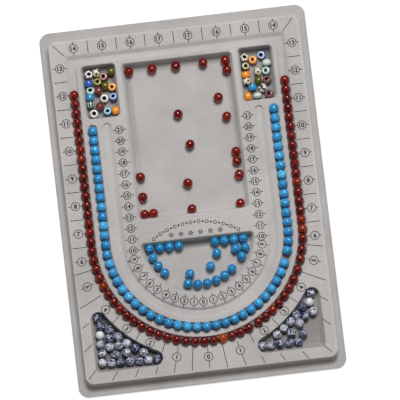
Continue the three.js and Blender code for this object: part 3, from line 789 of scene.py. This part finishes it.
# Carnelian: translucent red quartz. Light goes in and out through the polish, so the bead is deep red with a
# small hard highlight and a glow away from the light. Faint clouds lie inside, and a few beads are orange.
carnelian, shader, place = new_material(
    "polished_carnelian", roughness=0.04, ior=1.54, transmission_weight=0.65
)
cloud = add(carnelian, "TexNoise", {"Vector": place, "Scale": 1 / (6 * MM), "Detail": 1.0})
own = add(carnelian, "Attribute", {}, attribute_name="tone")
drift = add(carnelian, "MapRange", {"Value": cloud, "To Min": -0.25, "To Max": 0.25})
blend = add(carnelian, "Math", {0: drift, 1: own.outputs["Fac"]}, operation="ADD")
colour = add(carnelian, "Mix", {0: blend, 6: RED_DEEP, 7: RED_LIGHT}, data_type="RGBA")
fire = add(carnelian, "MapRange", {"Value": own.outputs["Fac"], "From Min": 1.0, "From Max": 2.0})
colour = add(carnelian, "Mix", {0: fire, 6: colour.outputs[2], 7: RED_ORANGE}, data_type="RGBA")
carnelian.node_tree.links.new(colour.outputs[2], shader.inputs["Base Color"])
red_stone = ("carnelian", "red_stone", RED_DIAMETER, carnelian)

red_runs = {
    "outer_row_left_run": ([(40, 8.35, 1.6)], {0: 0.9, 6: 0.9, 7: 1.1, 15: 0.9, 21: 1.2, 24: 0.9, 36: 2.0}),
    "outer_row_foot_run": ([(7, 8.35, 1.2), (1, 8.35, 1.5), (2, 8.6, 1.4)], {2: 1.1, 5: 0.8}),
    "outer_row_right_run": ([(18, 8.47, 0)], {1: 1.3, 2: 1.1, 6: 1.2, 17: 0.8}),
}
bead_rows(red_stone, "outer_row", *RED_ROW, RED_GIRTH, RED_TONES, red_runs)

# Loose red beads, measured from the middle of the tray. Beads in one list touch and are one node.
loose_reds = [
    [(-43.5, 64.5)], [(-22.5, 64.5)], [(-1, 64.5)], [(23.5, 64.5)], [(43.5, 64.5), (44, 56)], [(33.5, 32)],
    [(-4, 21)], [(39, 14)], [(3.5, -7.5)], [(43.5, -18.5), (43.5, -27)], [(44, -39.5)], [(-44, -31.5)],
    [(-2.5, -42)], [(-44, -50)], [(-44, -65.5), (-36, -65.5)], [(-1.5, -65.5)], [(42, -65.5)],
]
for number, flat in enumerate(loose_reds, start=1):
    centres = raised(np.array(flat) + [0, TRAY_MIDDLE_Y], RED_REST)
    tones = chance.uniform(0.2, 1.0, len(flat))
    turns = any_turn(len(flat))
    girth = RED_GIRTH if len(flat) == 1 else RED_PAIR_GIRTH
    bead_piece(red_stone, f"red_bead_{number:02d}", "tray_beads", centres, tones, turns, girth, FINE_SIDES)


# The blue beads: round beads of dyed turquoise, smooth but less glassy than the red ones, with small dark
# specks. A row of them lies in the middle channel, and the dish holds a loose handful along its wall.
BLUE_DIAMETER = 8.62
BLUE_GIRTH = 1.045
BLUE_ROW = (MIDDLE_RADIUS - 0.2, 71.9, 0.3)
BLUE_TONES = (0.25, 0.75)
BLUE_REST = 5.55
DISH_WALL = 8.1
DISH_SHIFT = np.array([-0.5, 0.8])
BLUE_LIGHT = "#3CA6E6"
BLUE_DEEP = "#1A7AB2"
BLUE_PALE = "#72D2E8"
BLUE_SPECK = "#123E5C"

# Dyed turquoise: an even blue with a soft polish, clouded from bead to bead, with pale and dark flecks about
# a millimetre wide that some beads have many of.
turquoise, shader, place = new_material("dyed_turquoise", roughness=0.13, ior=1.6)
cloud = add(turquoise, "TexNoise", {"Vector": place, "Scale": 1 / (4 * MM), "Detail": 3.0})
own = add(turquoise, "Attribute", {}, attribute_name="tone")
blend = add(turquoise, "Math", {0: cloud, 1: own.outputs["Fac"]}, operation="ADD")
share = add(turquoise, "MapRange", {"Value": blend, "From Min": 0.6, "From Max": 1.4})
colour = add(turquoise, "Mix", {0: share, 6: BLUE_DEEP, 7: BLUE_LIGHT}, data_type="RGBA")
fleck = add(
    turquoise, "TexNoise", {"Vector": place, "Scale": 1 / (1.3 * MM), "Detail": 2.0, "Distortion": 0.8}
)
lift = add(turquoise, "Math", {0: own.outputs["Fac"], 1: 0.1}, operation="MULTIPLY")
level = add(turquoise, "Math", {0: fleck, 1: lift}, operation="ADD")
pale = add(turquoise, "MapRange", {"Value": level, "From Min": 0.64, "From Max": 0.76})
veined = add(turquoise, "Mix", {0: pale, 6: colour.outputs[2], 7: BLUE_PALE}, data_type="RGBA")
dark = add(turquoise, "MapRange", {"Value": fleck, "From Min": 0.4, "From Max": 0.28})
spotted = add(turquoise, "Mix", {0: dark, 6: veined.outputs[2], 7: BLUE_SPECK}, data_type="RGBA")
turquoise.node_tree.links.new(spotted.outputs[2], shader.inputs["Base Color"])
blue_stone = ("turquoise", "turquoise", BLUE_DIAMETER, turquoise)

blue_runs = {
    "middle_row_left_run": ([(39, 8.62, 3.0)], {10: 1.3, 14: 0.9, 17: 1.1, 18: 1.1}),
    "middle_row_right_run": ([(16, 8.6, 0)], {8: 1.6}),
}
bead_rows(blue_stone, "middle_row", *BLUE_ROW, BLUE_GIRTH, BLUE_TONES, blue_runs)

# Beads in the dish, measured from the middle of the bend. Those of a chain touch each other and the wall.
wall_radius = DISH_RADIUS - DISH_WALL
wall_step = 2 * np.degrees(np.arcsin(BLUE_DIAMETER / 2 / wall_radius))
left_chain = wall_radius * ways(np.radians(188.3 + wall_step * np.arange(4)))
foot_chain = wall_radius * ways(np.radians(253.5 + wall_step * np.arange(6)))
dish_places = {
    "dish_beads_top_row": [(-33.5, -6.5), (-25, -6.5), (-16.5, -6.5)],
    "dish_beads_left_chain": left_chain,
    "dish_beads_foot_chain": np.vstack([[(-9.6, -32.8)], foot_chain]),
    "dish_beads_right_heap": [
        (16, -6.6), (24.5, -6.6), (33, -6.6), (41.5, -6.6), (33.4, -15.1), (42, -15), (38.2, -22.5)
    ],
    "dish_bead_01": [(9.5, -28)],
    "dish_bead_02": [(16.5, -17)],
}
for node, flat in dish_places.items():
    centres = raised(np.array(flat) + DISH_SHIFT + [0, BEND_Y], BLUE_REST)
    # The dish's beads take darker tones than the row's, as painted shade of the deep dish
    tones = chance.uniform(0.0, 0.35, len(flat))
    bead_piece(blue_stone, node, "dish_beads", centres, tones)


# The mottled beads: round beads of sodalite, a stone of white and navy blue grains, tumbled and drilled like
# the red ones. They lie heaped in the two corner pockets.
MOTTLED_DIAMETER = 8.2
MOTTLED_REST = 5.4
WHITEST_TONE = 0.62
STONE_WHITE = "#DCDDE2"
STONE_GREY = "#9095AC"
STONE_NAVY = "#2A3156"

# Sodalite: a soft polish over white, grey and navy grains two or three millimetres wide.
sodalite, shader, place = new_material("polished_sodalite", roughness=0.2, ior=1.48)
vein = add(
    sodalite, "TexNoise", {"Vector": place, "Scale": 1 / (2.6 * MM), "Detail": 4.0, "Distortion": 1.5}
)
own = add(sodalite, "Attribute", {}, attribute_name="tone")
blend = add(sodalite, "Math", {0: vein, 1: own.outputs["Fac"]}, operation="ADD")
haze = add(sodalite, "MapRange", {"Value": blend, "From Min": 0.92, "From Max": 1.05})
pale = add(sodalite, "Mix", {0: haze, 6: STONE_GREY, 7: STONE_WHITE}, data_type="RGBA")
blue = add(sodalite, "MapRange", {"Value": blend, "From Min": 0.86, "From Max": 0.95})
colour = add(sodalite, "Mix", {0: blue, 6: STONE_NAVY, 7: pale.outputs[2]}, data_type="RGBA")
sodalite.node_tree.links.new(colour.outputs[2], shader.inputs["Base Color"])
mottled_stone = ("sodalite", "mottled_stone", MOTTLED_DIAMETER, sodalite)

# Places are measured inwards from the two outer sides of each pocket
left_corner = [
    (5.9, 48.6), (8.2, 40.9), (15.3, 37), (6.3, 33), (14.4, 29.2), (22.2, 29.8), (5.9, 24.8), (13.9, 21.4),
    (22.1, 21.8), (29.6, 23), (6.5, 16.4), (18.1, 14.2), (28, 14.9), (36.6, 18.1), (43.5, 13.3), (5.9, 8),
    (14.1, 7), (22.3, 6.6), (30.5, 6.6), (38.7, 6.3), (46.9, 5.9), (55.1, 6.1),
]
right_corner = [
    (7, 48.2), (8.9, 40.4), (15.8, 36.9), (6.7, 31.6), (22, 30.2), (14.4, 28.6), (27.7, 24.9), (20, 22.6),
    (34.2, 19.7), (28, 14.6), (40.9, 14.7), (18, 13), (55.5, 5.9), (47.5, 5.9), (39.3, 6.5), (30.9, 6.5),
    (22.7, 6.2),
]
for name, side, inward, shift, whitest in (
    ("left", -1, left_corner, (0.1, 0.6), 3),
    ("right", 1, right_corner, (0.9, 1.1), 1),
):
    across, along = (np.array(inward) + shift).T
    flat = np.stack([side * (CORNER_SIDE - across), CORNER_FOOT + along], axis=1)
    tones = chance.uniform(0.34, 0.5, len(flat))
    tones[whitest] = WHITEST_TONE
    centres = raised(flat, MOTTLED_REST)
    bead_piece(mottled_stone, f"corner_beads_{name}", f"{name}_corner_beads", centres, tones)


# The pony beads: short glazed barrels with a wide hole, fired in bright colours. Some have a ring of another
# colour round the hole, a stripe, or dark patches. They lie in the upper pockets, on end or on their sides.
PONY_DIAMETER = 7.8
PONY_LENGTH = 6.0
PONY_HOLE = 3.2
PONY_SIDES = 36
PONY_BANDS = 17
PONY_SQUARENESS = 1.35
PONY_CLEARANCE = 0.3
BORE_FLARE = 0.12
GLAZE = {
    "white": "#E9E7E2",
    "cream": "#DCCFB6",
    "black": "#1E1C1C",
    "rose": "#C79F98",
    "maroon": "#5E2420",
    "olive": "#57561B",
    "straw": "#AFA864",
    "blue": "#3A5CB0",
    "ice": "#C9D8EE",
    "orange": "#F2922A",
    "apricot": "#F9BE72",
    "brick": "#783836",
    "mint": "#BFD9D1",
    "green": "#1F5B3E",
    "sky": "#2F8DBE",
    "grey": "#BFCAC6",
    "sage": "#9DB0A6",
    "plum": "#7D555B",
}


def barrel():
    """A ring-shaped barrel: outside, radius and height follow a squarish oval; inside, the hole flares a
    little at both ends. Returns its points, its faces, and the height, radius and angle of each point."""
    angle = np.linspace(-np.pi / 2, np.pi / 2, PONY_BANDS)
    inner = PONY_HOLE / 2
    half = PONY_LENGTH / 2
    radius = inner + (PONY_DIAMETER / 2 - inner) * np.cos(angle) ** (1 / PONY_SQUARENESS)
    height = half * np.sign(angle) * np.abs(np.sin(angle)) ** (1 / PONY_SQUARENESS)
    bore = inner - BORE_FLARE
    radius = np.append(np.maximum(radius, inner + 0.1), [inner, bore, bore, inner])
    height = np.append(height, np.array([0.93, 0.7, -0.7, -0.93]) * half)
    turn = np.arange(PONY_SIDES) * 2 * np.pi / PONY_SIDES
    where = [np.repeat(height, PONY_SIDES), np.repeat(radius, PONY_SIDES), np.tile(turn, len(radius))]
    return spun(radius, height, PONY_SIDES), ring_faces(len(radius), PONY_SIDES, closed=True), where


def patterned(look, height, radius, turn):
    """How much of a second colour shows at each point, from 0 to 1, by the look. Patches come last."""
    end = np.abs(height) / (PONY_LENGTH / 2)
    if look == "rim":
        return ramp(end, 0.75, 0.1) * ramp(radius, 1.7, 0.1)
    if look == "edge":
        return ramp(end, 0.86, 0.06) * ramp(radius, 1.7, 0.1)
    if look == "notches":
        notch = np.clip(np.cos(5 * turn) * 3 - 1.2, 0, 1) * ramp(end, 0.97, -0.05)
        return np.maximum(ramp(radius, 1.75, -0.1), notch)
    if look == "hole":
        return ramp(radius, 1.85, -0.15)
    if look == "band":
        return ramp(end, 0.32, -0.1)
    if look == "stripes":
        return np.clip(np.cos(9 * turn) * 4 - 2.2, 0, 1)
    wave = np.sin(3 * turn + 1.2 * height) + np.sin(5 * turn - 0.9 * height + 2)
    return np.clip((wave + 0.5 * np.cos(2.1 * height) - 0.25) * 3, 0, 1)


# Glaze: clear glass over colour, so a hard bright highlight, and a little uneven where it ran in the kiln.
glaze, shader, place = new_material("pony_bead_glaze", roughness=0.12, ior=1.52)
paint = add(glaze, "Attribute", {}, attribute_name="glaze")
run = add(glaze, "TexNoise", {"Vector": place, "Scale": 1 / (2.5 * MM), "Detail": 2.0})
level = add(glaze, "MapRange", {"Value": run, "To Min": 0.82, "To Max": 1.12})
colour = add(
    glaze,
    "Mix",
    {0: 1.0, 6: paint.outputs["Color"], 7: level},
    data_type="RGBA",
    blend_type="MULTIPLY",
)
glaze.node_tree.links.new(colour.outputs[2], shader.inputs["Base Color"])

# Each pony bead: its place from the middle of its pocket, how far its hole leans from upright and towards
# which way, both in degrees, its colour, and its second colour and look. Beads in one list are one node.
UP = (0, 0)
ALONG = (90, 90)
ACROSS = (90, 0)
left_ponies = [
    [(-9.0, 16.9, (12, 60), "white", "black", "notches")],
    [(-2.2, 17.9, ACROSS, "cream", "black", "patches")],
    [(4.6, 13.5, (18, 150), "maroon", "rose", "rim")],
    [(11.4, 17.7, ACROSS, "olive")],
    [(-9.9, 8.8, ALONG, "blue")],
    [(-1.7, 9.1, (16, 100), "olive", "straw", "rim"), (-1.9, 1.5, ACROSS, "brick")],
    [(4.5, 5.4, ACROSS, "olive")],
    [(10.8, 3.6, (6, 180), "orange", "apricot", "rim")],
    [
        (-9.1, 1.9, (20, 90), "mint", "green", "hole"),
        (-10.1, -3.8, ALONG, "sky"),
        (-10.5, -10.4, ALONG, "green", "white", "stripes"),
    ],
    [(2.6, -6.0, UP, "white", "black", "hole")],
    [(10.8, -5.6, (14, 100), "blue", "ice", "edge")],
    [(-2.0, -12.6, (60, 40), "brick")],
    [(-8.1, -18.7, UP, "white", "black", "hole")],
    [(4.2, -18.1, (10, 90), "sky", "mint", "edge")],
    [(11.5, -18.0, ACROSS, "orange")],
]
right_ponies = [
    [(-9.7, 16.0, (8, 60), "cream", "black", "notches")],
    [(-2.3, 13.1, (10, 150), "orange", "apricot", "rim")],
    [(5.9, 16.7, (14, 200), "blue", "ice", "rim")],
    [(9.6, 9.3, ALONG, "grey", "white", "band")],
    [(-9.9, 8.0, (12, 30), "olive", "cream", "edge")],
    [(8.4, 1.9, (14, 150), "sage", "mint", "rim")],
    [(-10.2, 0.3, ALONG, "orange"), (-10.0, -5.7, ALONG, "cream", "black", "patches")],
    [(0.7, 2.0, ACROSS, "cream", "black", "patches"), (0.5, -5.8, (90, 20), "olive")],
    [(8.2, -6.3, (20, 110), "plum", "maroon", "hole")],
    [(-5.6, -11.8, ALONG, "sky")],
    [(3.6, -13.0, (30, 200), "white", "black", "patches")],
    [(-10.6, -19.2, ACROSS, "orange")],
    [(-2.1, -19.4, ALONG, "sage", "white", "band")],
    [(8.8, -19.1, (16, 150), "plum", "maroon", "hole")],
]
barrel_points, barrel_faces, barrel_where = barrel()
for name, side, ponies in (("left", -1, left_ponies), ("right", 1, right_ponies)):
    for number, beads in enumerate(ponies, start=1):
        parts = []
        paints = []
        for x, y, lie, first, *pattern in beads:
            spin = chance.uniform(0, 2 * np.pi)
            lean, heading = np.radians(lie)
            turn = Matrix.Rotation(heading, 3, "Z") @ Matrix.Rotation(lean, 3, "Y")
            turn = turn @ Matrix.Rotation(spin, 3, "Z")
            half = np.hypot(PONY_LENGTH * np.cos(lean), PONY_DIAMETER * np.sin(lean)) / 2
            middle = np.array([side * POCKET_X + x, POCKET_Y + y, SHEET + PONY_CLEARANCE + half])
            parts.append(barrel_points @ np.array(turn).T + middle)
            paint = np.broadcast_to(linear(GLAZE[first]), (len(barrel_points), 4))
            if pattern:
                second, look = pattern
                share = patterned(look, *barrel_where)[:, None]
                paint = (1 - share) * paint + share * linear(GLAZE[second])
            paints.append(paint)
        faces = repeated(barrel_faces, len(beads), len(barrel_points))
        node = f"pony_bead_{name}_{number:02d}"
        pony = piece_of("glazed_" + node, np.concatenate(parts), faces.tolist(), glaze)
        painted = pony.data.attributes.new("glaze", "FLOAT_COLOR", "POINT")
        painted.data.foreach_set("color", np.concatenate(paints).ravel())
        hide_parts(node)
        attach(pony, f"{name}_pocket_beads")


# The studio: a white table top, one large soft light beyond the far end of the board and a little to its
# right, two small dim ones at its left and right, and a little even light from all round.
FLOOR_HALF = 3000.0
TABLE_WHITE = "#A4A4A4"
TABLE_GLOW = 0.7
SKY_LIGHT = 0.09
SKY_MIRRORED = 0.06

# Painted table top: matt white, lit up where the camera sees it so that it is as white as a bright backdrop.
table, shader, place = new_material(
    "white_table_top", base_color=linear(TABLE_WHITE), emission_color=linear("#FFFFFF"), roughness=0.9
)
rays = add(table, "LightPath", {})
seen = add(
    table,
    "Math",
    {0: rays.outputs["Is Camera Ray"], 1: rays.outputs["Is Glossy Ray"]},
    operation="MAXIMUM",
)
seen = add(table, "Math", {0: seen, 1: rays.outputs["Is Transmission Ray"]}, operation="MAXIMUM")
lift = add(table, "Math", {0: seen, 1: TABLE_GLOW}, operation="MULTIPLY")
table.node_tree.links.new(lift.outputs[0], shader.inputs["Emission Strength"])
floor_points = np.array([[-1, -1, 0], [1, -1, 0], [1, 1, 0], [-1, 1, 0]]) * FLOOR_HALF
floor = piece_of("table_top", floor_points, [[0, 1, 2, 3]], table)

world = bpy.data.worlds.new("soft_daylight")
world.use_nodes = True
sky = world.node_tree.nodes["Background"]
sky.inputs["Color"].default_value = linear("#FFFFFF")
rays = add(world, "LightPath", {})
mirrored_sky = add(
    world,
    "MapRange",
    {"Value": rays.outputs["Is Glossy Ray"], "To Min": SKY_LIGHT, "To Max": SKY_MIRRORED},
)
world.node_tree.links.new(mirrored_sky.outputs[0], sky.inputs["Strength"])
bpy.context.scene.world = world


def placed(right, up, back, spot):
    """The matrix that stands an object at a spot with its X, Y and Z axes along right, up and back."""
    axes = np.column_stack([right, up, back, spot])
    return Matrix(np.vstack([axes, [0, 0, 0, 1]]).tolist())


# Each light: its power in watts, its width and where it stands in metres. All face the middle of the board.
softboxes = {
    "softbox_top": (57.5, 1.0, (0.285, 1.005, 2.16)),
    "softbox_left": (1.2, 0.4, (-1.15, -0.2, 0.75)),
    "softbox_right": (1.2, 0.4, (1.15, -0.2, 0.75)),
}
for name, (energy, size, spot) in softboxes.items():
    lamp = bpy.data.lights.new(name, "AREA")
    lamp.energy = energy
    lamp.size = size
    softbox = bpy.data.objects.new(name, lamp)
    back = np.array(spot) / np.linalg.norm(spot)
    right = np.cross([0, 0, 1], back)
    right /= np.linalg.norm(right)
    softbox.matrix_world = placed(right, np.cross(back, right), back, spot)
    bpy.context.scene.collection.objects.link(softbox)


# The camera: a long lens almost straight above, leaning 8 degrees towards the foot of the board and rolled so
# that the board's top edge rises to the right. One pixel of the 400 across is about 0.895 mm.
LEAN = np.radians(8.0)
ROLL = np.radians(6.7)
DISTANCE = 5.5
FRAME_WIDTH = 0.3581
SENSOR = 36
aim = np.array([6.55, 0.65, 0]) * MM
back = np.array([0, -np.sin(LEAN), np.cos(LEAN)])
level = np.array([1.0, 0, 0])
rise = np.array([0, np.cos(LEAN), np.sin(LEAN)])
right = np.cos(ROLL) * level - np.sin(ROLL) * rise
up = np.sin(ROLL) * level + np.cos(ROLL) * rise
lens = bpy.data.cameras.new("long_lens")
lens.sensor_width = SENSOR
lens.lens = SENSOR * DISTANCE / FRAME_WIDTH
lens.clip_end = 20
camera = bpy.data.objects.new("long_lens", lens)
camera.matrix_world = placed(right, up, back, aim + DISTANCE * back)
bpy.context.scene.collection.objects.link(camera)
bpy.context.scene.camera = camera
bpy.context.scene.view_settings.view_transform = "Standard"
